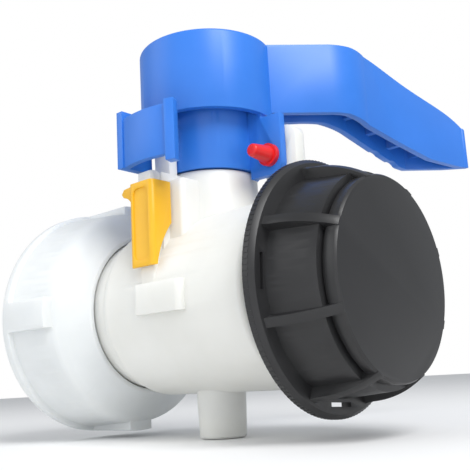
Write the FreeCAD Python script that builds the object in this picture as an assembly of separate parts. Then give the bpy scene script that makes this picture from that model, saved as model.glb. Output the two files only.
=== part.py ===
"""Butterfly valve for an intermediate bulk container, 2 inch, with union nut, lever and screw cap.

Every piece is built about the crossing of the pipe axis (X, flow towards +X) and the stem axis
(Z, up), then moved so that the frame's origin is the centre of the union nut's rear mouth.
All sizes are in millimetres.
"""
import FreeCAD, Part
import math
import os

V = FreeCAD.Vector

# ---- clearances -------------------------------------------------------------------------------
RUNNING = 0.1          # shaft in bush, flap in liner
GAP = 0.3              # pieces that pass each other
FACE_GAP = 0.1         # faces that meet across a joint

# ---- pipe: inlet spigot, housing, outlet neck ---------------------------------------------------
STEM_X = 74.0          # stem axis ahead of the union nut's mouth
BORE_R = 25.0          # 50 mm waterway
SPIGOT_R = 30.0
SPIGOT_END = -55.0
SHOULDER_X = -31.0     # rear end of the housing
SHOULDER_ROUND = 7.0
HOUSING_R = 33.0
HOUSING_END = 41.0
OUTLET_R = 29.4        # core of the 60 mm outlet thread
OUTLET_FACE = 70.8
LINER_R = 28.0
LINER_HALF = 14.0

# ---- stem, its neck and the lower pivot ---------------------------------------------------------
NECK_R = 18.0
NECK_TOP = 47.4
GLAND_BOSS_R = 13.5
GLAND_BOSS_TOP = 58.0
GLAND_R = 11.0
GLAND_FLANGE_R = 13.0
GLAND_FLANGE_T = 1.3
STEM_R = 7.5
STEM_LOW_R = 6.0
STEM_COLLAR_R = 9.5
STEM_COLLAR_Z = 41.0
STEM_COLLAR_T = 4.0
STEM_BOTTOM = -40.5
STEM_SQUARE = 10.0
STEM_SQUARE_Z = 62.0
STEM_TOP = 90.0
SEAL_W = 2.6
SEAL_DEPTH = 1.6
SEAL_Z = (30.5, 35.5)
PIVOT_BOSS_TOP_R = 9.5
PIVOT_BOSS_R = 8.6
PIVOT_BOSS_Z = -49.0
PIVOT_BORE_R = 7.5
PIVOT_BORE_Z = -41.0
LOWER_SEAL_TOP = -28.3
LOWER_SEAL_H = 2.4

# ---- flap ---------------------------------------------------------------------------------------
FLAP_HALF_T = 3.5
FLAP_HUB_R = 9.0
PIN_R = 2.0
PIN_HALF = 8.0
PIN_Z = 12.0

# ---- fin, foot and transport post ---------------------------------------------------------------
FIN_LEFT = -6.5
FIN_RIGHT = 1.2
FIN_FRONT = -32.5
FIN_TOP = 46.5
STOP_FRONT = -23.4     # inner part of the fin, which the lug stops against
STOP_BACK = -19.6
STOP_TOP = 67.0
ROOT_FRONT = -24.5
ROOT_HALF = 8.5
ROOT_TOP = 43.5
FOOT_LEFT = -7.5
FOOT_RIGHT = 16.0
FOOT_FRONT = -35.6
FOOT_Z = (-5.0, 5.5)
FOOT_ROUND = 2.5
RAIL_Y = -28.5         # groove that the slide's hooks run in
RAIL_W = 2.0
RAIL_DEPTH = 1.2

# ---- handle -------------------------------------------------------------------------------------
HUB_R = 26.3
HUB_BOTTOM = 68.8
HUB_TOP = 99.6
HANDLE_WALL = 2.8
SKIRT_R = 19.1
SKIRT_BOTTOM = 48.0
SOCKET_R = 12.0
SOCKET_BOTTOM = 60.0
WELL_R = 9.5
WELL_FLOOR = 93.0
LUG_FACE = 1.5         # leading face of the lug, just clear of the fin when the handle is open
LUG_T = 3.0
LUG_OUT = 34.0
LUG_Z = (44.5, 67.0)
LUG_ROUND = 4.5
HOOK_IN_R = 33.9
HOOK_OUT_R = 36.4
HOOK_Z = (49.5, 68.0)
HOOK_BAR_R = 38.0
HOOK_BAR_Z = (46.8, 69.0)
HOOK_LEFT_DEG = 249.4
HOOK_RIGHT_DEG = 294.5
HOOK_BAR_DEG = 5.5
HOOK_ARM_X = (-13.8, -10.8)
HOOK_ARM_Y = (-35.3, -21.0)
HANDLE_TRAVEL = 90.0

# ---- transport screw and its post ---------------------------------------------------------------
SCREW_X = 28.8
SCREW_Z = 51.6
SCREW_R = 2.6
SCREW_TIP = 7.5
SCREW_FLANGE_R = 4.2
SCREW_FLANGE_T = 2.0
KNOB_R = (3.3, 2.3)
KNOB_LENGTH = 9.0
POST_X = (23.8, 38.2)
POST_T = 5.5
POST_TOP = 62.7
POST_HOLE_R = 3.6

# ---- lock slide ---------------------------------------------------------------------------------
SLIDE_T = 2.0
SLIDE_Z = (12.0, 42.5)
SLIDE_TRAVEL = 6.0
SLIDE_DEPTH_LEFT = -26.5
SLIDE_DEPTH_RIGHT = -25.6
SLIDE_CORNER = 1.8
SLIDE_FIELD_DEPTH = 0.6
SLIDE_BORDER = 2.2

# ---- outlet cap ---------------------------------------------------------------------------------
CAP_BACK = 50.2
CAP_FLANGE_T = 3.7
CAP_FLANGE_R = 42.9
CAP_CUP_R = (36.6, 34.9)
CAP_GROOVE_X = 71.1
CAP_FACE = 76.4
CAP_FACE_R = 32.4
CAP_INNER_R = 30.6
CAP_PLATE = 3.2
CAP_RIBS = 8
CAP_RIB_T = 3.0
CAP_RIB_PHASE = 25.9
CAP_SLOTS = 4
CAP_SLOT_R = 38.3
CAP_SLOT_W = 1.4
CAP_SLOT_L = 11.0
GASKET_T = 2.2
BAND_X = (45.6, 49.8)
BAND_R = 35.0

# ---- union nut ----------------------------------------------------------------------------------
NUT_MOUTH = -STEM_X
NUT_THREAD_R = 37.7    # wall of the 75 mm inlet thread
NUT_THREAD_L = 16.4     # ends just short of the inlet gasket
NUT_RIM_R = 46.5
NUT_RIM_W = 4.5
NUT_WALL_R = (44.8, 43.2)
NUT_SHOULDER = -45.0
NUT_NOSE = -35.5
NUT_NOSE_R = 32.4
NUT_HOLE_R = 30.4
NUT_SEAT = -48.0
NUT_RIBS = 4
NUT_RIB_W = 11.5
RING_X = (-52.4, -48.2)
RING_R = 36.0
RING_GROOVE_R = 28.2


# ---- helpers ------------------------------------------------------------------------------------
def revolve(points, axis):
    """Solid of revolution from (station, radius) points about the X or Z axis."""
    if axis == "X":
        corners = [V(s, 0, r) for s, r in points]
        direction = V(1, 0, 0)
    else:
        corners = [V(r, 0, s) for s, r in points]
        direction = V(0, 0, 1)
    wire = Part.makePolygon(corners + [corners[0]])
    return Part.Face(wire).revolve(V(0, 0, 0), direction, 360)


def rod_x(radius, start, end, y=0.0, z=0.0):
    """Cylinder along X between two stations."""
    return Part.makeCylinder(radius, end - start, V(start, y, z), V(1, 0, 0))


def rod_y(radius, start, end, x, z):
    """Cylinder along Y between two stations."""
    return Part.makeCylinder(radius, end - start, V(x, start, z), V(0, 1, 0))


def rod_z(radius, start, end):
    """Cylinder on the stem axis between two heights."""
    return Part.makeCylinder(radius, end - start, V(0, 0, start))


def block(x, y, z):
    """Box from three (low, high) spans."""
    size = (x[1] - x[0], y[1] - y[0], z[1] - z[0])
    return Part.makeBox(size[0], size[1], size[2], V(x[0], y[0], z[0]))


def tube_z(outer, inner, start, end):
    """Tube on the stem axis."""
    return rod_z(outer, start, end).cut(rod_z(inner, start - 1, end + 1))


def polar(radius, degrees):
    """Point in plan at a bearing from +X about the stem axis."""
    turn = math.radians(degrees)
    return V(radius * math.cos(turn), radius * math.sin(turn), 0)


def sector(inner, outer, start_deg, end_deg, z):
    """Part of a ring in plan, between two bearings and two heights."""
    middle = (start_deg + end_deg) / 2
    outside = Part.Arc(polar(outer, start_deg), polar(outer, middle), polar(outer, end_deg))
    inside = Part.Arc(polar(inner, end_deg), polar(inner, middle), polar(inner, start_deg))
    edges = [
        outside.toShape(),
        Part.makeLine(polar(outer, end_deg), polar(inner, end_deg)),
        inside.toShape(),
        Part.makeLine(polar(inner, start_deg), polar(outer, start_deg)),
    ]
    face = Part.Face(Part.Wire(edges))
    face.translate(V(0, 0, z[0]))
    return face.extrude(V(0, 0, z[1] - z[0]))


def fuse(shapes):
    """One solid from pieces that overlap, with seams removed."""
    return shapes[0].multiFuse(shapes[1:]).removeSplitter()


def edges_along(shape, direction, where):
    """Straight edges parallel to a direction whose middle passes a test."""
    found = []
    for edge in shape.Edges:
        if len(edge.Vertexes) != 2 or edge.Curve.TypeId != "Part::GeomLine":
            continue
        span = edge.Vertexes[1].Point.sub(edge.Vertexes[0].Point)
        if span.Length < 1e-6 or span.cross(direction).Length > 1e-4 * span.Length:
            continue
        if where(edge.CenterOfMass):
            found.append(edge)
    return found


# ---- fixed body ---------------------------------------------------------------------------------
def make_valve_body():
    """Housing, spigot, necks, pivot boss, fin and post in one moulding."""
    pipe = revolve(
        [
            (SPIGOT_END, 0),
            (SPIGOT_END, SPIGOT_R),
            (RING_X[0] - FACE_GAP, SPIGOT_R),
            (RING_X[0] - FACE_GAP, RING_GROOVE_R),
            (RING_X[1] + FACE_GAP, RING_GROOVE_R),
            (RING_X[1] + FACE_GAP, SPIGOT_R),
            (SHOULDER_X - 2, SPIGOT_R),
            (SHOULDER_X, SPIGOT_R + 1),
            (OUTLET_FACE, SPIGOT_R + 1),
            (OUTLET_FACE, 0),
        ],
        "X",
    )
    pipe = pipe.common(fuse([
        rod_x(HOUSING_R, SPIGOT_END, HOUSING_END),
        rod_x(OUTLET_R, HOUSING_END - 1, OUTLET_FACE),
    ]))
    housing = rod_x(HOUSING_R, SHOULDER_X, HOUSING_END)
    rear = [e for e in housing.Edges if e.Closed and abs(e.CenterOfMass.x - SHOULDER_X) < 1e-6]
    front = [e for e in housing.Edges if e.Closed and abs(e.CenterOfMass.x - HOUSING_END) < 1e-6]
    housing = housing.makeFillet(SHOULDER_ROUND, rear)
    front = [e for e in housing.Edges if e.Closed and abs(e.CenterOfMass.x - HOUSING_END) < 1e-6]
    housing = housing.makeFillet(2.5, front)

    neck = rod_z(NECK_R, 0, NECK_TOP)
    boss = rod_z(GLAND_BOSS_R, NECK_TOP - 1, GLAND_BOSS_TOP)
    pivot = Part.makeCone(PIVOT_BOSS_R, PIVOT_BOSS_TOP_R, -PIVOT_BOSS_Z - 20, V(0, 0, PIVOT_BOSS_Z))
    tip = [e for e in pivot.Edges if e.Closed and abs(e.CenterOfMass.z - PIVOT_BOSS_Z) < 1e-6]
    pivot = pivot.makeFillet(1.2, tip)

    body = fuse([pipe, housing, neck, boss, pivot, make_fin(), make_post()])
    body = body.cut(rod_x(BORE_R, SPIGOT_END - 1, OUTLET_FACE + 1))
    body = body.cut(rod_x(LINER_R, -LINER_HALF, LINER_HALF))
    body = body.cut(rod_z(STEM_R + RUNNING, 0, STEM_COLLAR_Z))
    body = body.cut(rod_z(GLAND_R, STEM_COLLAR_Z - 0.2, GLAND_BOSS_TOP + 1))
    return body.cut(rod_z(PIVOT_BORE_R, PIVOT_BORE_Z, 0))


def make_fin():
    """Fin on the front of the neck: foot, slide rail and the stop that the lug meets."""
    rail = block((FIN_LEFT, FIN_RIGHT), (FIN_FRONT, -NECK_R + 4), (0, FIN_TOP))
    corners = edges_along(rail, V(0, 0, 1), lambda c: c.y < FIN_FRONT + 1)
    rail = rail.makeFillet(1.2, corners)
    groove_y = (RAIL_Y - RAIL_W / 2, RAIL_Y + RAIL_W / 2)
    for side in ((FIN_LEFT - 1, FIN_LEFT + RAIL_DEPTH), (FIN_RIGHT - RAIL_DEPTH, FIN_RIGHT + 1)):
        rail = rail.cut(block(side, groove_y, (0, FIN_TOP + 1)))
    stop = block((FIN_LEFT, FIN_RIGHT), (STOP_FRONT, STOP_BACK), (ROOT_TOP - 10, STOP_TOP))
    root = block((-ROOT_HALF, ROOT_HALF), (ROOT_FRONT, -NECK_R + 8), (0, ROOT_TOP))
    root = root.makeFillet(2.0, edges_along(root, V(0, 0, 1), lambda c: c.y < ROOT_FRONT + 1))
    foot = block((FOOT_LEFT, FOOT_RIGHT), (FOOT_FRONT, -20), FOOT_Z)
    foot = foot.makeFillet(FOOT_ROUND, edges_along(foot, V(0, 0, 1), lambda c: c.y < FOOT_FRONT + 1))
    return fuse([rail, stop, root, foot])


def make_post():
    """Rounded post behind the lug, with the hole that the transport screw reaches into."""
    back = LUG_FACE + LUG_T + GAP
    post = block(POST_X, (back, back + POST_T), (20, POST_TOP))
    top = edges_along(post, V(0, 1, 0), lambda c: c.z > POST_TOP - 1)
    post = post.makeFillet(4.0, top)
    return post.cut(rod_y(POST_HOLE_R, back - 1, back + POST_T + 1, SCREW_X, SCREW_Z))


def make_seat_liner():
    """Sleeve that the flap closes against, with holes for the stem."""
    liner = rod_x(LINER_R, -LINER_HALF, LINER_HALF).cut(rod_x(BORE_R, -LINER_HALF - 1, LINER_HALF + 1))
    liner = liner.cut(rod_z(STEM_R + RUNNING, 0, LINER_R + 1))
    return liner.cut(rod_z(STEM_LOW_R + GAP, -LINER_R - 1, 0))


def make_lower_bush():
    """Bush of the lower pivot."""
    top = LOWER_SEAL_TOP - LOWER_SEAL_H
    return tube_z(PIVOT_BORE_R, STEM_LOW_R + RUNNING, PIVOT_BORE_Z + 0.2, top)


def make_lower_seal():
    """Seal ring above the lower bush."""
    start = LOWER_SEAL_TOP - LOWER_SEAL_H
    return tube_z(PIVOT_BORE_R, STEM_LOW_R + RUNNING, start, LOWER_SEAL_TOP)


def make_stem_gland():
    """Flanged bush in the top of the neck."""
    bottom = STEM_COLLAR_Z + STEM_COLLAR_T + FACE_GAP
    top = GLAND_BOSS_TOP + GLAND_FLANGE_T
    outside = fuse([rod_z(GLAND_R, bottom, top), rod_z(GLAND_FLANGE_R, GLAND_BOSS_TOP, top)])
    return outside.cut(rod_z(STEM_R + RUNNING, bottom - 1, top + 1))


def make_nut_retaining_ring():
    """Split ring in the spigot's groove."""
    ring = revolve(
        [(RING_X[0], RING_GROOVE_R), (RING_X[0], RING_R), (RING_X[1], RING_R), (RING_X[1], RING_GROOVE_R)],
        "X",
    )
    return ring.cut(block((RING_X[0] - 1, RING_X[1] + 1), (-1.0, 1.0), (-RING_R - 1, 0)))


def make_inlet_gasket():
    """Flat gasket on the spigot's face."""
    start = SPIGOT_END - GASKET_T
    return rod_x(RING_R, start, SPIGOT_END).cut(rod_x(BORE_R + 1.5, start - 1, SPIGOT_END + 1))


def make_tamper_band():
    """Band left on the outlet neck behind the cap."""
    band = revolve(
        [(BAND_X[0], OUTLET_R), (BAND_X[0], BAND_R - 1), (BAND_X[0] + 1, BAND_R),
         (BAND_X[1], BAND_R), (BAND_X[1], OUTLET_R)],
        "X",
    )
    return band


# ---- union nut ----------------------------------------------------------------------------------
def make_union_nut():
    """Nut with a rear rim, broad outer ribs and a nose that closes round the spigot."""
    mouth = NUT_MOUTH
    thread_end = mouth + NUT_THREAD_L
    outline = [
        (mouth, NUT_THREAD_R),
        (mouth, NUT_RIM_R - 0.8),
        (mouth + 0.8, NUT_RIM_R),
        (mouth + NUT_RIM_W, NUT_RIM_R),
        (mouth + NUT_RIM_W + 0.8, NUT_WALL_R[0]),
        (NUT_SHOULDER - 1.2, NUT_WALL_R[1]),
        (NUT_SHOULDER + 0.6, NUT_WALL_R[1] - 1.2),
        (NUT_SHOULDER + 3.4, NUT_WALL_R[1] - 5.0),
        (NUT_NOSE - 1.0, NUT_NOSE_R + 0.6),
        (NUT_NOSE, NUT_NOSE_R - 0.2),
        (NUT_NOSE, NUT_HOLE_R),
        (NUT_SEAT, NUT_HOLE_R),
        (NUT_SEAT, NUT_THREAD_R + 0.6),
        (thread_end, NUT_THREAD_R + 0.6),
        (thread_end, NUT_THREAD_R),
    ]
    nut = revolve(outline, "X")
    inner = NUT_WALL_R[1] - 2.0
    rib = block((mouth + 0.8, NUT_SHOULDER - 0.4), (-NUT_RIM_R, -inner), (-NUT_RIB_W / 2, NUT_RIB_W / 2))
    rib = rib.common(rod_x(NUT_RIM_R, mouth, NUT_SHOULDER))
    ribs = []
    for number in range(NUT_RIBS):
        copy = rib.copy()
        copy.rotate(V(0, 0, 0), V(1, 0, 0), number * 360.0 / NUT_RIBS)
        ribs.append(copy)
    return fuse([nut] + ribs)


# ---- handle, stem and flap ----------------------------------------------------------------------
def lever_plan():
    """Outline of the lever in plan: front wall, slanted end and rear wall."""
    front_hub = V(16.0, 0.5, 0)
    front_start = V(41.0, 27.6, 0)
    front_bend = V(44.4, 33.6, 0)
    front_end = V(45.8, 46.0, 0)
    tip_front = V(55.0, 112.5, 0)
    tip_bend = V(54.9, 114.9, 0)
    tip_back = V(53.0, 114.2, 0)
    rear_tip = V(33.4, 92.0, 0)
    rear_end = V(32.0, 48.0, 0)
    rear_bend = V(30.4, 38.2, 0)
    rear_start = V(24.0, 28.0, 0)
    rear_hub = V(8.0, 14.0, 0)
    return Part.Wire([
        Part.makeLine(front_hub, front_start),
        Part.Arc(front_start, front_bend, front_end).toShape(),
        Part.makeLine(front_end, tip_front),
        Part.Arc(tip_front, tip_bend, tip_back).toShape(),
        Part.makeLine(tip_back, rear_tip),
        Part.makeLine(rear_tip, rear_end),
        Part.Arc(rear_end, rear_bend, rear_start).toShape(),
        Part.makeLine(rear_start, rear_hub),
        Part.makeLine(rear_hub, front_hub),
    ])


def lever_side(drop):
    """Side view of the lever, drooping towards the grip's end, with its top lowered by drop."""
    top = HUB_TOP - drop
    crown = Part.BSplineCurve()
    crown.interpolate([V(0, 36, top), V(0, 47, top - 1.6), V(0, 68, top - 7.4),
                       V(0, 89, top - 12.2), V(0, 108, top - 17.4), V(0, 118, top - 23.0)])
    base = [V(0, 118, 61.6), V(0, 106, 60.9), V(0, 86, 61.0), V(0, 64, 65.0),
            V(0, 42, 69.6), V(0, 34, 71.2), V(0, 0, 71.5)]
    edges = [Part.makeLine(V(0, 0, top), V(0, 36, top)), crown.toShape(),
             Part.makeLine(V(0, 118, top - 23.0), base[0])]
    edges += [Part.makeLine(base[n], base[n + 1]) for n in range(len(base) - 1)]
    edges.append(Part.makeLine(base[-1], V(0, 0, top)))
    return Part.Face(Part.Wire(edges)).extrude(V(70, 0, 0))


def lever_ribs(inside):
    """Cross ribs inside the channel, clipped to its hollow."""
    ribs = []
    for y in (44.0, 60.0, 76.0, 92.0):
        ribs.append(block((0, 70), (y, y + 2.0), (60, HUB_TOP)))
    web = Part.makeCompound(ribs).common(inside)
    relief = lever_side(0)
    relief.translate(V(0, 0, 5.0))
    return [solid for solid in web.common(relief).Solids]


def make_lever_channel():
    """Lever: an inverted channel, open underneath, with finger scallops in its rear wall."""
    plan = Part.Face(lever_plan())
    column = plan.extrude(V(0, 0, HUB_TOP + 1))
    shell = column.common(lever_side(0))
    hollow_plan = plan.makeOffset2D(-HANDLE_WALL)
    hollow = hollow_plan.extrude(V(0, 0, HUB_TOP + 1))
    crown = lever_side(HANDLE_WALL)
    crown = crown.fuse(block((0, 70), (0, 130), (40, 72)))
    hollow = hollow.common(crown)
    shell = shell.cut(hollow)
    for y in (54.0, 67.0, 80.0):
        depth = 66.4 - 0.16 * (y - 54.0)
        shell = shell.cut(rod_x(7.0, 20, 38, y, depth - 6.4))
    return [shell] + lever_ribs(hollow)


def make_hook():
    """Latch hook: an arm, a band round the end of the fin and a taller bar."""
    arm = block(HOOK_ARM_X, HOOK_ARM_Y, (HOOK_Z[0], HUB_BOTTOM + 2.5))
    band = sector(HOOK_IN_R, HOOK_OUT_R, HOOK_LEFT_DEG, HOOK_RIGHT_DEG - 1, HOOK_Z)
    bar = sector(HOOK_IN_R, HOOK_BAR_R, HOOK_RIGHT_DEG - HOOK_BAR_DEG, HOOK_RIGHT_DEG, HOOK_BAR_Z)
    return [arm, band, bar]


def make_lug():
    """Lug beside the skirt, with the hole of the transport screw and a web to the hub."""
    lug = block((SKIRT_R - 1.4, LUG_OUT), (LUG_FACE, LUG_FACE + LUG_T), LUG_Z)
    lug = lug.cut(rod_z(SKIRT_R + 0.15, LUG_Z[0] - 1, SKIRT_BOTTOM))
    low = edges_along(lug, V(0, 1, 0), lambda c: c.z < LUG_Z[0] + 1 and c.x > LUG_OUT - 1)
    lug = lug.makeFillet(LUG_ROUND, low)
    web = block((SKIRT_R - 1.4, HUB_R - 1), (LUG_FACE, LUG_FACE + LUG_T), (LUG_Z[1] - 1, HUB_BOTTOM + 2))
    lug = lug.fuse(web)
    return lug.cut(rod_y(SCREW_R + RUNNING, LUG_FACE - 1, LUG_FACE + LUG_T + 1, SCREW_X, SCREW_Z))


def make_handle_lever():
    """Whole handle moulding."""
    hub = rod_z(HUB_R, HUB_BOTTOM, HUB_TOP)
    rim = [e for e in hub.Edges if e.Closed and abs(e.CenterOfMass.z - HUB_TOP) < 1e-6]
    hub = hub.makeFillet(1.2, rim)
    hub = hub.cut(rod_z(HUB_R - HANDLE_WALL, HUB_BOTTOM - 1, HUB_TOP - HANDLE_WALL))
    skirt = tube_z(SKIRT_R, SKIRT_R - HANDLE_WALL, SKIRT_BOTTOM, HUB_TOP - 1)
    socket = rod_z(SOCKET_R, SOCKET_BOTTOM, HUB_TOP - 1)
    webs = []
    for number in range(6):
        outer_web = block((SKIRT_R - 1, HUB_R - 1), (-1, 1), (HUB_BOTTOM + 4, HUB_TOP - 1))
        inner_web = block((SOCKET_R - 1, SKIRT_R - 1), (-1, 1), (SOCKET_BOTTOM + 4, HUB_TOP - 1))
        for web in (outer_web, inner_web):
            web.rotate(V(0, 0, 0), V(0, 0, 1), 20 + number * 60)
            webs.append(web)
    channel = [piece.cut(rod_z(HUB_R - 1, 0, HUB_TOP + 2)) for piece in make_lever_channel()]
    handle = fuse([hub, skirt, socket] + webs + channel + make_hook() + [make_lug()])
    square = STEM_SQUARE / 2 + RUNNING / 2
    handle = handle.cut(block((-square, square), (-square, square), (SOCKET_BOTTOM - 1, STEM_TOP + FACE_GAP)))
    handle = handle.cut(rod_z(WELL_R, WELL_FLOOR, HUB_TOP + 1))
    return handle.cut(rod_z(3.3, STEM_TOP - 1, WELL_FLOOR + 1))


def make_stem():
    """Stem: pivot, flap section, seal section, collar and square."""
    stem = fuse([
        rod_z(STEM_LOW_R, STEM_BOTTOM, 26),
        rod_z(STEM_R, 25.4, STEM_SQUARE_Z - 2.5),
        rod_z(STEM_COLLAR_R, STEM_COLLAR_Z, STEM_COLLAR_Z + STEM_COLLAR_T),
        block((-STEM_SQUARE / 2, STEM_SQUARE / 2), (-STEM_SQUARE / 2, STEM_SQUARE / 2), (55, STEM_TOP)),
    ])
    for z in SEAL_Z:
        stem = stem.cut(tube_z(STEM_R + 1, STEM_R - SEAL_DEPTH, z, z + SEAL_W))
    for z in (-PIN_Z, PIN_Z):
        stem = stem.cut(rod_x(PIN_R, -STEM_R, STEM_R, 0, z))
    return stem.cut(rod_z(2.5, STEM_TOP - 14, STEM_TOP + 1))


def make_flap_disc():
    """Flap: a slice of a ball with a hub along the stem."""
    ball = Part.makeSphere(BORE_R - RUNNING)
    plate = ball.common(block((-FLAP_HALF_T, FLAP_HALF_T), (-BORE_R, BORE_R), (-BORE_R, BORE_R)))
    hub = ball.common(rod_z(FLAP_HUB_R, -BORE_R, BORE_R))
    flap = fuse([plate, hub]).cut(rod_z(STEM_LOW_R, -BORE_R - 1, BORE_R + 1))
    for z in (-PIN_Z, PIN_Z):
        flap = flap.cut(rod_x(PIN_R, -FLAP_HUB_R - 1, FLAP_HUB_R + 1, 0, z))
    return flap


def make_disc_pin(z):
    """Cross pin between flap and stem."""
    return rod_x(PIN_R, -PIN_HALF, PIN_HALF, 0, z)


def make_stem_seal(z):
    """Seal ring in a groove of the stem."""
    outer = STEM_R + RUNNING / 2
    inner = STEM_R - SEAL_DEPTH
    soft = 0.5
    return revolve(
        [(z, inner), (z, outer - soft), (z + soft, outer), (z + SEAL_W - soft, outer),
         (z + SEAL_W, outer - soft), (z + SEAL_W, inner)],
        "Z",
    )


def make_handle_washer():
    """Washer in the hub's well."""
    return tube_z(8.5, 3.2, WELL_FLOOR, WELL_FLOOR + 1.2)


def make_handle_screw():
    """Pan head screw that holds the handle on the stem."""
    seat = WELL_FLOOR + 1.2
    return fuse([rod_z(5.5, seat, seat + 3.2), rod_z(2.5, STEM_TOP - 12, seat + 1)])


def make_hub_plug():
    """Plug that closes the hub's well."""
    return rod_z(WELL_R, HUB_TOP - 1.2, HUB_TOP - 0.2)


def make_transport_screw():
    """Screw with a flange on the lug's leading face and a tapered knob."""
    shank = rod_y(SCREW_R, LUG_FACE - 1, SCREW_TIP, SCREW_X, SCREW_Z)
    flange = rod_y(SCREW_FLANGE_R, LUG_FACE - SCREW_FLANGE_T, LUG_FACE, SCREW_X, SCREW_Z)
    base = V(SCREW_X, LUG_FACE - SCREW_FLANGE_T, SCREW_Z)
    knob = Part.makeCone(KNOB_R[0], KNOB_R[1], KNOB_LENGTH, base, V(0, -1, 0))
    end = [e for e in knob.Edges if e.Closed and e.CenterOfMass.y < base.y - KNOB_LENGTH + 0.1]
    return fuse([shank, flange, knob.makeFillet(1.2, end)])


# ---- lock slide ---------------------------------------------------------------------------------
def make_lock_slide():
    """Slide that wraps the fin, hooked into its rail, with a thumb lip and a framed field."""
    left = FIN_LEFT - GAP - SLIDE_T
    right = FIN_RIGHT + GAP + SLIDE_T
    front = FIN_FRONT - GAP - SLIDE_T
    outside = block((left, right), (front, SLIDE_DEPTH_RIGHT), SLIDE_Z)
    outside = outside.makeFillet(SLIDE_CORNER, edges_along(outside, V(0, 0, 1), lambda c: c.y < front + 1))
    inside = block((left + SLIDE_T, right - SLIDE_T), (front + SLIDE_T, 0), (0, 60))
    slide = outside.cut(inside)
    slide = slide.cut(block((left - 1, left + SLIDE_T + 1), (SLIDE_DEPTH_LEFT, 0), (0, 60)))
    hook_y = (RAIL_Y - RAIL_W / 2 + GAP, RAIL_Y + RAIL_W / 2 - GAP)
    reach = GAP + RAIL_DEPTH - 0.2
    hooks = [
        block((left + SLIDE_T - 0.5, left + SLIDE_T + reach), hook_y, (26, SLIDE_Z[1])),
        block((right - SLIDE_T - reach, right - SLIDE_T + 0.5), hook_y, (26, SLIDE_Z[1])),
    ]
    slide = fuse([slide] + hooks + [make_slide_lip(left, front)])
    slide = slide.cut(rod_x(HOUSING_R + GAP + 0.1, -40, 40, 0, SLIDE_TRAVEL))
    field = block(
        (left + SLIDE_BORDER, right - SLIDE_BORDER),
        (front - 1, front + SLIDE_FIELD_DEPTH),
        (SLIDE_Z[0] + SLIDE_BORDER, SLIDE_Z[1] - SLIDE_BORDER),
    )
    field = field.makeFillet(2.5, edges_along(field, V(0, 1, 0), lambda c: True))
    return slide.cut(field)


def make_slide_lip(left, front):
    """Thumb lip at the top of the slide."""
    top = SLIDE_Z[1]
    corners = [V(left + 1, front, top), V(left - 4.6, front, top - 0.6), V(left - 5.8, front, top - 2.2),
               V(left - 4.8, front, top - 3.6)]
    edges = [Part.makeLine(corners[n], corners[n + 1]) for n in range(3)]
    curl = Part.Arc(corners[3], V(left - 1.6, front, top - 5.2), V(left, front, top - 10.0)).toShape()
    edges += [curl, Part.makeLine(V(left, front, top - 10.0), V(left + 1, front, top - 10.0))]
    edges.append(Part.makeLine(V(left + 1, front, top - 10.0), corners[0]))
    lip = Part.Face(Part.Wire(edges)).extrude(V(0, 4.0, 0))
    lip.translate(V(0, SLIDE_CORNER, 0))
    return lip


# ---- outlet cap ---------------------------------------------------------------------------------
def make_outlet_cap():
    """Screw cap: cup with a stepped face, flange with slots, and ribs that curve in to the face."""
    front = CAP_BACK + CAP_FLANGE_T
    neck = CAP_FACE_R + 0.6
    cup = revolve(
        [
            (CAP_BACK, CAP_INNER_R),
            (CAP_BACK, CAP_FLANGE_R),
            (front - 1.6, CAP_FLANGE_R),
            (front, CAP_FLANGE_R - 1.3),
            (front, CAP_CUP_R[0]),
            (CAP_GROOVE_X, CAP_CUP_R[1]),
            (CAP_GROOVE_X, neck - 1.2),
            (CAP_GROOVE_X + 1.2, neck - 1.2),
            (CAP_GROOVE_X + 1.2, neck),
            (CAP_FACE - 0.8, neck),
            (CAP_FACE, CAP_FACE_R),
            (CAP_FACE, 0),
            (CAP_FACE - CAP_PLATE, 0),
            (CAP_FACE - CAP_PLATE, CAP_INNER_R),
        ],
        "X",
    )
    outline = [V(front - 0.5, 0, 33.5), V(front - 0.5, 0, 40.6), V(front + 2.4, 0, 39.9)]
    base = [Part.makeLine(outline[0], outline[1]), Part.makeLine(outline[1], outline[2])]
    sweep = Part.Arc(outline[2], V(67.5, 0, 37.6), V(CAP_FACE, 0, CAP_FACE_R + 0.4)).toShape()
    close = [Part.makeLine(V(CAP_FACE, 0, CAP_FACE_R + 0.4), V(CAP_FACE, 0, 31.2)),
             Part.makeLine(V(CAP_FACE, 0, 31.2), outline[0])]
    rib = Part.Face(Part.Wire(base + [sweep] + close)).extrude(V(0, CAP_RIB_T, 0))
    rib.translate(V(0, -CAP_RIB_T / 2, 0))
    pieces = [cup]
    for number in range(CAP_RIBS):
        copy = rib.copy()
        copy.rotate(V(0, 0, 0), V(1, 0, 0), -(CAP_RIB_PHASE + number * 360.0 / CAP_RIBS))
        pieces.append(copy)
    cap = fuse(pieces)
    slot = block((CAP_BACK - 1, front + 1), (-CAP_SLOT_L / 2, CAP_SLOT_L / 2),
                 (CAP_SLOT_R - CAP_SLOT_W / 2, CAP_SLOT_R + CAP_SLOT_W / 2))
    half_step = 180.0 / CAP_RIBS
    for number in range(CAP_SLOTS):
        copy = slot.copy()
        turn = CAP_RIB_PHASE - half_step + number * 360.0 / CAP_SLOTS
        copy.rotate(V(0, 0, 0), V(1, 0, 0), -turn)
        cap = cap.cut(copy)
    return cap


def make_cap_gasket():
    """Flat gasket between the outlet's face and the cap."""
    start = OUTLET_FACE + FACE_GAP
    end = CAP_FACE - CAP_PLATE - FACE_GAP
    return rod_x(OUTLET_R, start, end).cut(rod_x(BORE_R + 1.0, start - 1, end + 1))


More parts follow.
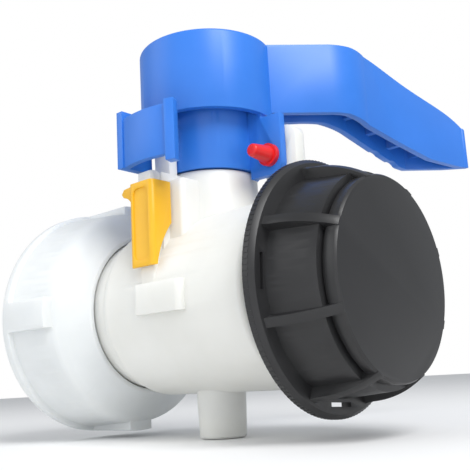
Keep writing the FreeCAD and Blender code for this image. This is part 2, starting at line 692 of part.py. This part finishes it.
# ---- write the pieces ---------------------------------------------------------------------------
PIECES = {
    "valve_body": make_valve_body,
    "seat_liner": make_seat_liner,
    "lower_bush": make_lower_bush,
    "lower_seal": make_lower_seal,
    "stem_gland": make_stem_gland,
    "nut_retaining_ring": make_nut_retaining_ring,
    "inlet_gasket": make_inlet_gasket,
    "tamper_band": make_tamper_band,
    "union_nut": make_union_nut,
    "handle_lever": make_handle_lever,
    "stem": make_stem,
    "flap_disc": make_flap_disc,
    "disc_pin_upper": lambda: make_disc_pin(PIN_Z),
    "disc_pin_lower": lambda: make_disc_pin(-PIN_Z),
    "stem_seal_lower": lambda: make_stem_seal(SEAL_Z[0]),
    "stem_seal_upper": lambda: make_stem_seal(SEAL_Z[1]),
    "handle_washer": make_handle_washer,
    "handle_screw": make_handle_screw,
    "hub_plug": make_hub_plug,
    "transport_screw": make_transport_screw,
    "lock_slide": make_lock_slide,
    "outlet_cap": make_outlet_cap,
    "cap_gasket": make_cap_gasket,
}


def main():
    """Build each piece, check that it is one closed solid, and write it."""
    os.makedirs("parts", exist_ok=True)
    for name, make in PIECES.items():
        shape = make()
        shape.translate(V(STEM_X, 0, 0))
        solids = shape.Solids
        if len(solids) == 1:
            shape = solids[0]
        box = shape.BoundBox
        print(f"{name:20s} solids {len(solids)} valid {shape.isValid()} volume {shape.Volume:10.1f} "
              f"x {box.XMin:7.2f} {box.XMax:7.2f} y {box.YMin:7.2f} {box.YMax:7.2f} "
              f"z {box.ZMin:7.2f} {box.ZMax:7.2f}")
        shape.exportStep(f"parts/{name}.step")


main()
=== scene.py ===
"""Looks of a container's butterfly valve: finishes, threads, knurl, blended edges, light and camera.

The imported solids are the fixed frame. Sizes are in metres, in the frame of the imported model:
X along the pipe from the union nut's mouth, Z up along the stem.
"""
import logging
import math
from dataclasses import dataclass, field
from enum import Enum

import bmesh
import bpy
from mathutils import Euler, Matrix, Vector


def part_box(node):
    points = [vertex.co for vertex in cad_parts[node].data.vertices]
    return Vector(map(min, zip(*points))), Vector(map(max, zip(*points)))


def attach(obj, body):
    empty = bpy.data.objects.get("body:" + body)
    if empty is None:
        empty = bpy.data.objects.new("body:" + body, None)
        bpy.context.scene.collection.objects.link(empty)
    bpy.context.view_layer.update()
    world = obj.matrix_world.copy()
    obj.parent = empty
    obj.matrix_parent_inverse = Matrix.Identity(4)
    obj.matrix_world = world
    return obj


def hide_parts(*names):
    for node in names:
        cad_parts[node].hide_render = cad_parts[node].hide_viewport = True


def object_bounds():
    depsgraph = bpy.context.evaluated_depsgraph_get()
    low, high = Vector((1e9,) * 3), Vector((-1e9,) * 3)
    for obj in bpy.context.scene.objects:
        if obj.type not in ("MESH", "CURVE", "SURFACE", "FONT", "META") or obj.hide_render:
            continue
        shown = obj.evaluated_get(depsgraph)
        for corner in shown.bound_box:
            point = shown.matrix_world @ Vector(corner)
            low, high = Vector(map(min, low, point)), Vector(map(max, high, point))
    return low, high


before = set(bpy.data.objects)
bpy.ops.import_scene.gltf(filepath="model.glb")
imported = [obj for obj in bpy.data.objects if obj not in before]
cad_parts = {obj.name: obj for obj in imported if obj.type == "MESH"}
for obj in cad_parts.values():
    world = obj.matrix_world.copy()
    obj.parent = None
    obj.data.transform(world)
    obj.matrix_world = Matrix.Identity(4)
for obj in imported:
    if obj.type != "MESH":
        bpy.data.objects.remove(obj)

CAD_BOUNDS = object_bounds()
LOG = logging.getLogger("valve")
MM = 0.001


# ---- shader expressions ---------------------------------------------------------------------------
class Signal:
    """A number socket in a material, on which Python's operators add Math nodes."""

    def __init__(self, shade: "Shade", socket: bpy.types.NodeSocket) -> None:
        """Wrap a socket.

        Args:
            shade: the material being built.
            socket: the output socket that carries the value.
        """
        self.shade = shade
        self.socket = socket

    def _math(self, operation: str, *values: object) -> "Signal":
        """Add one Math node.

        Args:
            operation: the node's operation.
            values: numbers or signals for its inputs.

        Returns:
            The node's output.
        """
        inputs = dict(enumerate(values))
        return self.shade.node("ShaderNodeMath", {"operation": operation}, inputs)

    def __add__(self, other: object) -> "Signal":
        """Sum."""
        return self._math("ADD", self, other)

    def __sub__(self, other: object) -> "Signal":
        """Difference."""
        return self._math("SUBTRACT", self, other)

    def __rsub__(self, other: object) -> "Signal":
        """Reflected difference."""
        return self._math("SUBTRACT", other, self)

    def __mul__(self, other: object) -> "Signal":
        """Product."""
        return self._math("MULTIPLY", self, other)

    def __truediv__(self, other: object) -> "Signal":
        """Quotient."""
        return self._math("DIVIDE", self, other)

    __radd__ = __add__
    __rmul__ = __mul__

    def absolute(self) -> "Signal":
        """Magnitude."""
        return self._math("ABSOLUTE", self)

    def ramp(self, low: float, high: float) -> "Signal":
        """Smooth step from 0 at low to 1 at high.

        Args:
            low: value that gives 0.
            high: value that gives 1.

        Returns:
            The stepped value.
        """
        settings = {"interpolation_type": "SMOOTHSTEP"}
        inputs = {"Value": self, "From Min": low, "From Max": high}
        return self.shade.node("ShaderNodeMapRange", settings, inputs)


class Shade:
    """Builder of one node material."""

    def __init__(self, name: str) -> None:
        """Start an empty node tree.

        Args:
            name: the material's name.
        """
        self.material = bpy.data.materials.new(name)
        self.material.use_nodes = True
        self.tree = self.material.node_tree
        self.tree.nodes.clear()

    def node(self, kind: str, settings: dict[str, object], inputs: dict[object, object],
             output: object = 0) -> Signal:
        """Add a node of any type.

        Args:
            kind: the node's type.
            settings: attributes that are set before the inputs.
            inputs: values or signals by input name or number.
            output: the output's name or number.

        Returns:
            The chosen output.
        """
        made = self.tree.nodes.new(kind)
        for key, value in settings.items():
            if key == "stops":
                self._set_stops(made, value)
            else:
                setattr(made, key, value)
        for key, value in inputs.items():
            if isinstance(value, Signal):
                self.tree.links.new(value.socket, made.inputs[key])
            else:
                made.inputs[key].default_value = value
        return Signal(self, made.outputs[output])

    @staticmethod
    def _set_stops(ramp_node: bpy.types.Node, stops: list[tuple[float, tuple]]) -> None:
        """Write a colour ramp's stops.

        Args:
            ramp_node: the ramp node.
            stops: (place, colour) pairs.
        """
        elements = ramp_node.color_ramp.elements
        for number, (place, colour) in enumerate(stops):
            element = elements[number] if number < len(elements) else elements.new(place)
            element.position = place
            element.color = colour

    def place(self, axis: str = "") -> Signal:
        """Object coordinates, or one axis of them.

        Args:
            axis: "X", "Y", "Z" or nothing for the vector.

        Returns:
            The vector or the number.
        """
        vector = self.node("ShaderNodeTexCoord", {}, {}, "Object")
        if not axis:
            return vector
        return self.node("ShaderNodeSeparateXYZ", {}, {0: vector}, axis)

    def noise(self, scale: float, detail: float = 2.0, roughness: float = 0.5,
              vector: Signal | None = None) -> Signal:
        """Noise over the piece.

        Args:
            scale: cycles per metre.
            detail: octaves.
            roughness: weight of the octaves.
            vector: coordinates, or nothing for Object coordinates.

        Returns:
            The noise value, about 0.5.
        """
        inputs = {"Vector": vector or self.place(), "Scale": scale, "Detail": detail, "Roughness": roughness}
        return self.node("ShaderNodeTexNoise", {}, inputs, "Fac")

    def blend(self, amount: object, first: object, second: object) -> Signal:
        """Mix two colours.

        Args:
            amount: 0 for the first, 1 for the second.
            first: colour or signal.
            second: colour or signal.

        Returns:
            The mixed colour.
        """
        inputs = {0: amount, 6: first, 7: second}
        return self.node("ShaderNodeMix", {"data_type": "RGBA"}, inputs, 2)

    def bump(self, height: Signal, strength: float, distance: float) -> Signal:
        """Bump from a height.

        Args:
            height: the height value.
            strength: bump strength.
            distance: metres for a height of one.

        Returns:
            The normal.
        """
        inputs = {"Strength": strength, "Distance": distance, "Height": height}
        return self.node("ShaderNodeBump", {}, inputs, "Normal")

    def finish(self, **inputs: object) -> bpy.types.Material:
        """Add the surface shader and the output.

        Args:
            inputs: the shader's inputs, with _ for a space.

        Returns:
            The finished material.
        """
        named = {key.replace("_", " "): value for key, value in inputs.items()}
        surface = self.node("ShaderNodeBsdfPrincipled", {}, named)
        self.node_output(surface)
        return self.material

    def node_output(self, surface: Signal) -> None:
        """Link a shader to the material's output."""
        made = self.tree.nodes.new("ShaderNodeOutputMaterial")
        self.tree.links.new(surface.socket, made.inputs["Surface"])


# ---- finishes -------------------------------------------------------------------------------------
@dataclass(frozen=True)
class Moulded:
    """Moulded plastic or rubber: two close colours, cloudiness and fine grain."""

    name: str
    colour: tuple[float, float, float]
    cloud: tuple[float, float, float]
    roughness: float = 0.4
    roughness_spread: float = 0.08
    grain: float = 2600.0
    grain_height: float = 0.00002
    glow: float = 0.0
    coat: float = 0.0

    def make(self) -> bpy.types.Material:
        """Build the material.

        Returns:
            The finished material.
        """
        shade = Shade(self.name)
        cloud = shade.noise(38.0, 4.0, 0.55)
        streak = shade.noise(9.0, 2.0, 0.5)
        amount = (cloud * 0.65 + streak * 0.35).ramp(0.3, 0.7)
        colour = shade.blend(amount, (*self.colour, 1.0), (*self.cloud, 1.0))
        grain = shade.noise(self.grain, 2.0, 0.6)
        ripple = shade.noise(130.0, 2.0, 0.5)
        height = grain * 0.6 + ripple * 1.4
        rough = self.roughness + (cloud - 0.5) * self.roughness_spread * 2.0
        return shade.finish(
            Base_Color=colour,
            Roughness=rough,
            Normal=shade.bump(height, 0.35, self.grain_height),
            Subsurface_Weight=self.glow,
            Subsurface_Radius=(1.0, 0.95, 0.85),
            Subsurface_Scale=0.006,
            Coat_Weight=self.coat,
            Coat_Roughness=0.3,
        )


@dataclass(frozen=True)
class Metal:
    """Turned steel with fine grain."""

    name: str
    colour: tuple[float, float, float]
    roughness: float = 0.32

    def make(self) -> bpy.types.Material:
        """Build the material.

        Returns:
            The finished material.
        """
        shade = Shade(self.name)
        fine = shade.noise(1800.0, 2.0)
        colour = shade.blend(fine, (*self.colour, 1.0), tuple(0.8 * c for c in self.colour) + (1.0,))
        return shade.finish(
            Base_Color=colour,
            Metallic=1.0,
            Roughness=self.roughness + (fine - 0.5) * 0.2,
            Normal=shade.bump(fine, 0.2, 0.00002),
        )


class Finish(Enum):
    """The finishes, named for the record's material slots."""

    BODY = Moulded("body_white", (0.74, 0.74, 0.70), (0.80, 0.80, 0.765), 0.42, glow=0.35)
    NUT = Moulded("nut_white", (0.70, 0.725, 0.73), (0.77, 0.79, 0.79), 0.45, glow=0.4)
    FLAP = Moulded("flap_white", (0.74, 0.74, 0.71), (0.78, 0.78, 0.75), 0.4)
    RUBBER = Moulded("rubber_black", (0.02, 0.02, 0.02), (0.03, 0.03, 0.03), 0.65)
    GASKET = Moulded("gasket_green", (0.06, 0.07, 0.06), (0.08, 0.09, 0.08), 0.6)
    BUSH = Moulded("bush_grey", (0.42, 0.43, 0.44), (0.48, 0.49, 0.50), 0.45)
    HANDLE = Moulded("handle_blue", (0.022, 0.165, 0.62), (0.03, 0.185, 0.68), 0.38, glow=0.05)
    CAP = Moulded("cap_black", (0.011, 0.011, 0.012), (0.016, 0.016, 0.017), 0.4, grain=3200.0)
    SLIDE = Moulded("slide_yellow", (0.80, 0.42, 0.012), (0.86, 0.47, 0.015), 0.4, glow=0.08)
    SCREW = Moulded("screw_red", (0.70, 0.012, 0.014), (0.76, 0.016, 0.016), 0.36)
    STEEL = Metal("steel", (0.60, 0.60, 0.61))

    @property
    def slot(self) -> str:
        """Name of the record's material slot."""
        return self.value.name

    def material(self) -> bpy.types.Material:
        """The finish's material, made the first time it is asked for."""
        made = bpy.data.materials.get("finish_" + self.slot)
        if made is None:
            made = self.value.make()
            made.name = "finish_" + self.slot
        return made


# ---- geometry node trees ----------------------------------------------------------------------------
class Pattern:
    """A Geometry Nodes tree with named inputs."""

    def __init__(self, name: str, sizes: dict[str, float | int]) -> None:
        """Start a tree.

        Args:
            name: the tree's name.
            sizes: named inputs and their values.
        """
        self.tree = bpy.data.node_groups.new(name, "GeometryNodeTree")
        self.sizes = sizes
        self.identifiers: dict[str, str] = {}
        for key, value in sizes.items():
            kind = "NodeSocketInt" if isinstance(value, int) else "NodeSocketFloat"
            made = self.tree.interface.new_socket(key, in_out="INPUT", socket_type=kind)
            self.identifiers[key] = made.identifier
        self.tree.interface.new_socket("Geometry", in_out="OUTPUT", socket_type="NodeSocketGeometry")
        self.entry = self.tree.nodes.new("NodeGroupInput")

    def size(self, name: str) -> bpy.types.NodeSocket:
        """Output socket of a named input."""
        return self.entry.outputs[name]

    def node(self, kind: str, settings: dict[str, object] | None = None,
             inputs: dict[object, object] | None = None) -> bpy.types.Node:
        """Add a node.

        Args:
            kind: the node's type.
            settings: attributes that are set first.
            inputs: values or sockets by input name or number.

        Returns:
            The node.
        """
        made = self.tree.nodes.new(kind)
        for key, value in (settings or {}).items():
            setattr(made, key, value)
        for key, value in (inputs or {}).items():
            if isinstance(value, bpy.types.NodeSocket):
                self.tree.links.new(value, made.inputs[key])
            else:
                made.inputs[key].default_value = value
        return made

    def maths(self, operation: str, first: object, second: object = 0.0) -> bpy.types.NodeSocket:
        """Add a Math node and return its output."""
        return self.node("ShaderNodeMath", {"operation": operation}, {0: first, 1: second}).outputs[0]

    def vector(self, x: object = 0.0, y: object = 0.0, z: object = 0.0) -> bpy.types.NodeSocket:
        """Add a Combine XYZ node and return its output."""
        return self.node("ShaderNodeCombineXYZ", None, {0: x, 1: y, 2: z}).outputs[0]

    def make(self, name: str, geometry: bpy.types.NodeSocket, finish: Finish) -> bpy.types.Object:
        """Close the tree, run it once and keep the result as a plain mesh.

        Args:
            name: the piece's name.
            geometry: the last geometry socket.
            finish: the piece's finish.

        Returns:
            The piece.
        """
        real = self.node("GeometryNodeRealizeInstances", None, {0: geometry})
        dressed = self.node("GeometryNodeSetMaterial", None, {0: real.outputs[0], "Material": finish.material()})
        out = self.tree.nodes.new("NodeGroupOutput")
        self.tree.links.new(dressed.outputs[0], out.inputs[0])
        holder = bpy.data.objects.new(name + "_nodes", bpy.data.meshes.new(name + "_seed"))
        bpy.context.scene.collection.objects.link(holder)
        modifier = holder.modifiers.new("pattern", "NODES")
        modifier.node_group = self.tree
        for key, value in self.sizes.items():
            modifier[self.identifiers[key]] = value
        graph = bpy.context.evaluated_depsgraph_get()
        mesh = bpy.data.meshes.new_from_object(holder.evaluated_get(graph))
        holder.modifiers.remove(modifier)
        bpy.data.objects.remove(holder)
        piece = bpy.data.objects.new(name, mesh)
        piece.data.name = name
        bpy.context.scene.collection.objects.link(piece)
        tidy_mesh(piece)
        return piece


# ---- mesh helpers -----------------------------------------------------------------------------------
def tidy_mesh(piece: bpy.types.Object, merge: float = 1e-6) -> None:
    """Merge doubles and turn the faces outwards.

    Args:
        piece: the object.
        merge: merging distance in metres.
    """
    work = bmesh.new()
    work.from_mesh(piece.data)
    bmesh.ops.remove_doubles(work, verts=work.verts, dist=merge)
    bmesh.ops.recalc_face_normals(work, faces=work.faces)
    work.to_mesh(piece.data)
    work.free()


def smooth_by_angle(piece: bpy.types.Object, degrees: float) -> None:
    """Shade smooth, with edges sharper than an angle kept sharp.

    Args:
        piece: the object.
        degrees: the angle.
    """
    work = bmesh.new()
    work.from_mesh(piece.data)
    limit = math.radians(degrees)
    for face in work.faces:
        face.smooth = True
    for edge in work.edges:
        edge.smooth = len(edge.link_faces) == 2 and edge.calc_face_angle(0.0) < limit
    work.to_mesh(piece.data)
    work.free()


def place_piece(piece: bpy.types.Object, body: str, finish: Finish, *nodes: str) -> bpy.types.Object:
    """Put a piece on its body and hide the solids it stands for.

    Args:
        piece: the object.
        body: the body that carries it.
        finish: not used.
        nodes: solids it replaces.

    Returns:
        The piece.
    """
    if nodes:
        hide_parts(*nodes)
    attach(piece, body)
    LOG.info("piece %s on %s: %d faces", piece.name, body, len(piece.data.polygons))
    return piece


def softened(node: str, name: str, body: str, finish: Finish, width: float, segments: int = 2,
             angle: float = 32.0) -> bpy.types.Object:
    """Copy of a solid with its sharp edges rounded, which stands for the solid.

    Args:
        node: the solid.
        name: the new piece's name.
        body: the body that carries it.
        finish: its finish.
        width: width of the rounding in metres.
        segments: facets across the rounding.
        angle: edges sharper than this are rounded.

    Returns:
        The piece.
    """
    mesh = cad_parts[node].data.copy()
    mesh.name = name
    mesh.materials.clear()
    mesh.materials.append(finish.material())
    piece = bpy.data.objects.new(name, mesh)
    bpy.context.scene.collection.objects.link(piece)
    work = bmesh.new()
    work.from_mesh(mesh)
    bmesh.ops.remove_doubles(work, verts=work.verts, dist=2e-6)
    bmesh.ops.dissolve_limit(work, angle_limit=math.radians(0.4), verts=work.verts, edges=work.edges)
    for face in work.faces:
        face.material_index = 0
    work.to_mesh(mesh)
    work.free()
    modifier = piece.modifiers.new("edge", "BEVEL")
    modifier.width = width
    modifier.segments = segments
    modifier.limit_method = "ANGLE"
    modifier.angle_limit = math.radians(angle)
    modifier.use_clamp_overlap = True
    modifier.harden_normals = False
    graph = bpy.context.evaluated_depsgraph_get()
    rounded = bpy.data.meshes.new_from_object(piece.evaluated_get(graph))
    piece.modifiers.remove(modifier)
    piece.data = rounded
    rounded.name = name
    smooth_by_angle(piece, 40.0)
    return place_piece(piece, body, finish, node)


# ---- sub-assemblies -----------------------------------------------------------------------------------
@dataclass
class Thread:
    """A round-backed helical thread on a cylinder about the pipe axis."""

    name: str
    body: str
    finish: Finish
    root: float
    height: float
    start: float
    length: float
    pitch: float = 6.0 * MM
    base: float = 3.6 * MM
    crest: float = 1.8 * MM
    facets: int = 72

    def build(self) -> bpy.types.Object:
        """Make the thread, which runs inwards when its height is negative.

        Returns:
            The piece.
        """
        sizes = {"Turns": self.length / self.pitch, "Root": self.root, "Height": self.height,
                 "Length": self.length, "Base": self.base, "Crest": self.crest, "Start": self.start,
                 "Facets": self.facets}
        tree = Pattern(self.name, sizes)
        spiral = tree.node("GeometryNodeCurveSpiral", None, {
            "Resolution": tree.size("Facets"), "Rotations": tree.size("Turns"),
            "Start Radius": tree.size("Root"), "End Radius": tree.size("Root"), "Height": tree.size("Length")})
        upright = tree.node("GeometryNodeSetCurveNormal", None, {0: spiral.outputs[0]})
        set_normal_mode(upright)
        profile = tree.node("GeometryNodeCurvePrimitiveQuadrilateral", {"mode": "TRAPEZOID"}, {
            "Bottom Width": tree.size("Base"), "Top Width": tree.size("Crest"),
            "Height": tree.size("Height"), "Offset": 0.0})
        quarter = math.radians(90.0)
        turned = tree.node("GeometryNodeTransform", None, {0: profile.outputs[0], "Rotation": (0.0, 0.0, quarter)})
        tube = tree.node("GeometryNodeCurveToMesh", None, {
            "Curve": upright.outputs[0], "Profile Curve": turned.outputs[0], "Fill Caps": True})
        along = tree.node("GeometryNodeTransform", None, {
            0: tube.outputs[0], "Translation": tree.vector(tree.size("Start")), "Rotation": (0.0, quarter, 0.0)})
        piece = tree.make(self.name, along.outputs[0], self.finish)
        smooth_by_angle(piece, 50.0)
        return place_piece(piece, self.body, self.finish)


def set_normal_mode(node: bpy.types.Node) -> None:
    """Keep a curve's profile upright along Z, by attribute or by menu socket."""
    if hasattr(node, "mode"):
        node.mode = "Z_UP"
    else:
        node.inputs["Mode"].default_value = "Z Up"


@dataclass
class KnurledRim:
    """Small teeth round the rim of the cap's flange."""

    radius: float
    back: float
    width: float
    teeth: int = 150
    depth: float = 0.55 * MM
    body: str = "cap"

    def build(self) -> bpy.types.Object:
        """Make the teeth.

        Returns:
            The piece.
        """
        sizes = {"Teeth": self.teeth, "Radius": self.radius, "Width": self.width, "Depth": self.depth,
                 "Middle": self.back + self.width / 2}
        tree = Pattern("cap_knurl", sizes)
        ring = tree.node("GeometryNodeMeshCircle", None, {"Vertices": tree.size("Teeth"), "Radius": tree.size("Radius")})
        pitch = tree.maths("DIVIDE", tree.maths("MULTIPLY", tree.size("Radius"), 2.0 * math.pi), tree.size("Teeth"))
        tooth_size = tree.vector(tree.size("Depth"), tree.maths("MULTIPLY", pitch, 0.5), tree.size("Width"))
        tooth = tree.node("GeometryNodeMeshCube", None, {"Size": tooth_size})
        index = tree.node("GeometryNodeInputIndex")
        step = tree.maths("DIVIDE", 2.0 * math.pi, tree.size("Teeth"))
        turn = tree.maths("MULTIPLY", index.outputs[0], step)
        spin = tree.vector(0.0, 0.0, turn)
        rotation = tree.node("FunctionNodeEulerToRotation", None, {0: spin})
        placed = tree.node("GeometryNodeInstanceOnPoints", None, {
            "Points": ring.outputs[0], "Instance": tooth.outputs[0], "Rotation": rotation.outputs[0]})
        quarter = math.radians(90.0)
        along = tree.node("GeometryNodeTransform", None, {
            0: placed.outputs[0], "Translation": tree.vector(tree.size("Middle")), "Rotation": (0.0, quarter, 0.0)})
        piece = tree.make("cap_knurl", along.outputs[0], Finish.CAP)
        return place_piece(piece, self.body, Finish.CAP)


@dataclass
class Housing:
    """Fixed body: the moulding, the threads on the outlet neck, and the small hidden pieces."""

    outlet_root: float = 29.3 * MM
    thread_height: float = 0.9 * MM
    thread_from: float = 126.5 * MM
    thread_length: float = 16.5 * MM
    bodies: dict[str, Finish] = field(default_factory=lambda: {
        "seat_liner": Finish.RUBBER, "lower_bush": Finish.BUSH, "lower_seal": Finish.RUBBER,
        "stem_gland": Finish.BUSH, "nut_retaining_ring": Finish.BUSH, "inlet_gasket": Finish.GASKET,
        "tamper_band": Finish.CAP})

    def build(self) -> None:
        """Dress the fixed body."""
        softened("valve_body", "valve_moulding", "valve", Finish.BODY, 0.8 * MM, 2)
        Thread("outlet_thread", "valve", Finish.BODY, self.outlet_root, self.thread_height,
               self.thread_from, self.thread_length).build()
        for node, finish in self.bodies.items():
            dress(node, finish)


@dataclass
class UnionNut:
    """Union nut with its inner thread."""

    thread_root: float = 37.9 * MM
    thread_height: float = -1.3 * MM
    thread_from: float = 2.2 * MM
    thread_length: float = 13.0 * MM

    def build(self) -> None:
        """Dress the nut."""
        softened("union_nut", "nut_moulding", "nut", Finish.NUT, 0.7 * MM, 2)
        Thread("inlet_thread_ridges", "nut", Finish.NUT, self.thread_root, self.thread_height,
               self.thread_from, self.thread_length).build()


@dataclass
class Handle:
    """Handle, stem and flap."""

    hidden: dict[str, Finish] = field(default_factory=lambda: {
        "stem": Finish.BUSH, "flap_disc": Finish.FLAP, "disc_pin_upper": Finish.STEEL,
        "disc_pin_lower": Finish.STEEL, "stem_seal_lower": Finish.RUBBER, "stem_seal_upper": Finish.RUBBER,
        "handle_washer": Finish.STEEL, "handle_screw": Finish.STEEL, "hub_plug": Finish.HANDLE,
        "transport_screw": Finish.SCREW})

    def build(self) -> None:
        """Dress the turning pieces."""
        softened("handle_lever", "handle_moulding", "handle", Finish.HANDLE, 0.7 * MM, 2)
        for node, finish in self.hidden.items():
            dress(node, finish)


@dataclass
class LockSlide:
    """Yellow slide on the fin."""

    edge: float = 0.5 * MM

    def build(self) -> None:
        """Dress the slide."""
        softened("lock_slide", "slide_moulding", "slide", Finish.SLIDE, self.edge, 2)


@dataclass
class OutletCap:
    """Screw cap, its gasket and its knurled flange."""

    rim_radius: float = 42.75 * MM
    rim_width: float = 2.0 * MM

    def build(self) -> None:
        """Dress the cap."""
        softened("outlet_cap", "cap_moulding", "cap", Finish.CAP, 0.5 * MM, 2)
        dress("cap_gasket", Finish.GASKET)
        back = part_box("outlet_cap")[0].x
        KnurledRim(self.rim_radius, back + 0.1 * MM, self.rim_width).build()


def dress(node: str, finish: Finish) -> None:
    """Give a solid its finish.

    Args:
        node: the solid's name.
        finish: its finish.
    """
    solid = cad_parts[node]
    for number in range(len(solid.material_slots)):
        solid.material_slots[number].material = finish.material()
    LOG.info("solid %s: %s", node, finish.slot)


# ---- surroundings ---------------------------------------------------------------------------------------
@dataclass
class Studio:
    """Camera, lamps, floor and pale surroundings."""

    camera_place: tuple[float, float, float] = (263.72 * MM, -204.37 * MM, -29.33 * MM)
    camera_turn: tuple[float, float, float] = (101.249, 3.075, 41.813)
    lens: float = 56.535
    floor_half: float = 3.0

    def build(self) -> None:
        """Make the surroundings."""
        scene = bpy.context.scene
        scene.view_settings.view_transform = "Standard"
        self._camera(scene)
        self._floor()
        self._world(scene)
        self._lamp("key", 7.5, 0.5, (0.75, -0.25, 0.65))
        self._lamp("side", 2.0, 0.7, (-0.55, -0.75, 0.45))
        self._lamp("low", 1.2, 0.8, (0.3, -0.8, 0.05))

    def _camera(self, scene: bpy.types.Scene) -> None:
        """Add the camera."""
        data = bpy.data.cameras.new("camera")
        data.lens = self.lens
        data.sensor_width = 36.0
        data.clip_start = 0.01
        camera = bpy.data.objects.new("camera", data)
        camera.location = self.camera_place
        camera.rotation_euler = Euler([math.radians(a) for a in self.camera_turn], "XYZ")
        scene.collection.objects.link(camera)
        scene.camera = camera

    def _floor(self) -> None:
        """Add the pale floor under the lowest point."""
        low = CAD_BOUNDS[0][2] - 0.2 * MM
        half = self.floor_half
        mesh = bpy.data.meshes.new("floor")
        mesh.from_pydata([(-half, -half, low), (half, -half, low), (half, half, low), (-half, half, low)], [],
                         [(0, 1, 2, 3)])
        floor = bpy.data.objects.new("floor", mesh)
        bpy.context.scene.collection.objects.link(floor)
        shade = Shade("floor_paper")
        tone = shade.blend(shade.noise(6.0, 3.0), (0.90, 0.90, 0.90, 1.0), (0.93, 0.93, 0.93, 1.0))
        mesh.materials.append(shade.finish(Base_Color=tone, Roughness=0.8))

    def _world(self, scene: bpy.types.Scene) -> None:
        """Light from all round, and a white background for the camera."""
        world = bpy.data.worlds.new("surroundings")
        world.use_nodes = True
        tree = world.node_tree
        tree.nodes.clear()
        path = tree.nodes.new("ShaderNodeLightPath")
        soft = tree.nodes.new("ShaderNodeBackground")
        soft.inputs["Color"].default_value = (0.93, 0.96, 1.0, 1.0)
        soft.inputs["Strength"].default_value = 0.55
        white = tree.nodes.new("ShaderNodeBackground")
        white.inputs["Color"].default_value = (1.0, 1.0, 1.0, 1.0)
        white.inputs["Strength"].default_value = 1.0
        mix = tree.nodes.new("ShaderNodeMixShader")
        out = tree.nodes.new("ShaderNodeOutputWorld")
        tree.links.new(path.outputs["Is Camera Ray"], mix.inputs[0])
        tree.links.new(soft.outputs[0], mix.inputs[1])
        tree.links.new(white.outputs[0], mix.inputs[2])
        tree.links.new(mix.outputs[0], out.inputs[0])
        scene.world = world

    def _lamp(self, name: str, power: float, size: float, place: tuple[float, float, float]) -> None:
        """Add a square lamp that faces the valve.

        Args:
            name: the lamp's name.
            power: watts.
            size: side in metres.
            place: where it hangs.
        """
        data = bpy.data.lights.new(name, "AREA")
        data.energy = power
        data.size = size
        lamp = bpy.data.objects.new(name, data)
        lamp.location = place
        middle = Vector((74.0, 0.0, 25.0)) * MM
        lamp.rotation_euler = (middle - Vector(place)).to_track_quat("-Z", "Y").to_euler()
        bpy.context.scene.collection.objects.link(lamp)


def main() -> None:
    """Build every sub-assembly in order."""
    logging.basicConfig(level=logging.INFO, format="%(name)s: %(message)s")
    for part in (Housing(), UnionNut(), Handle(), LockSlide(), OutletCap(), Studio()):
        LOG.info("building %s", type(part).__name__)
        part.build()


if __name__ == "__main__":
    main()
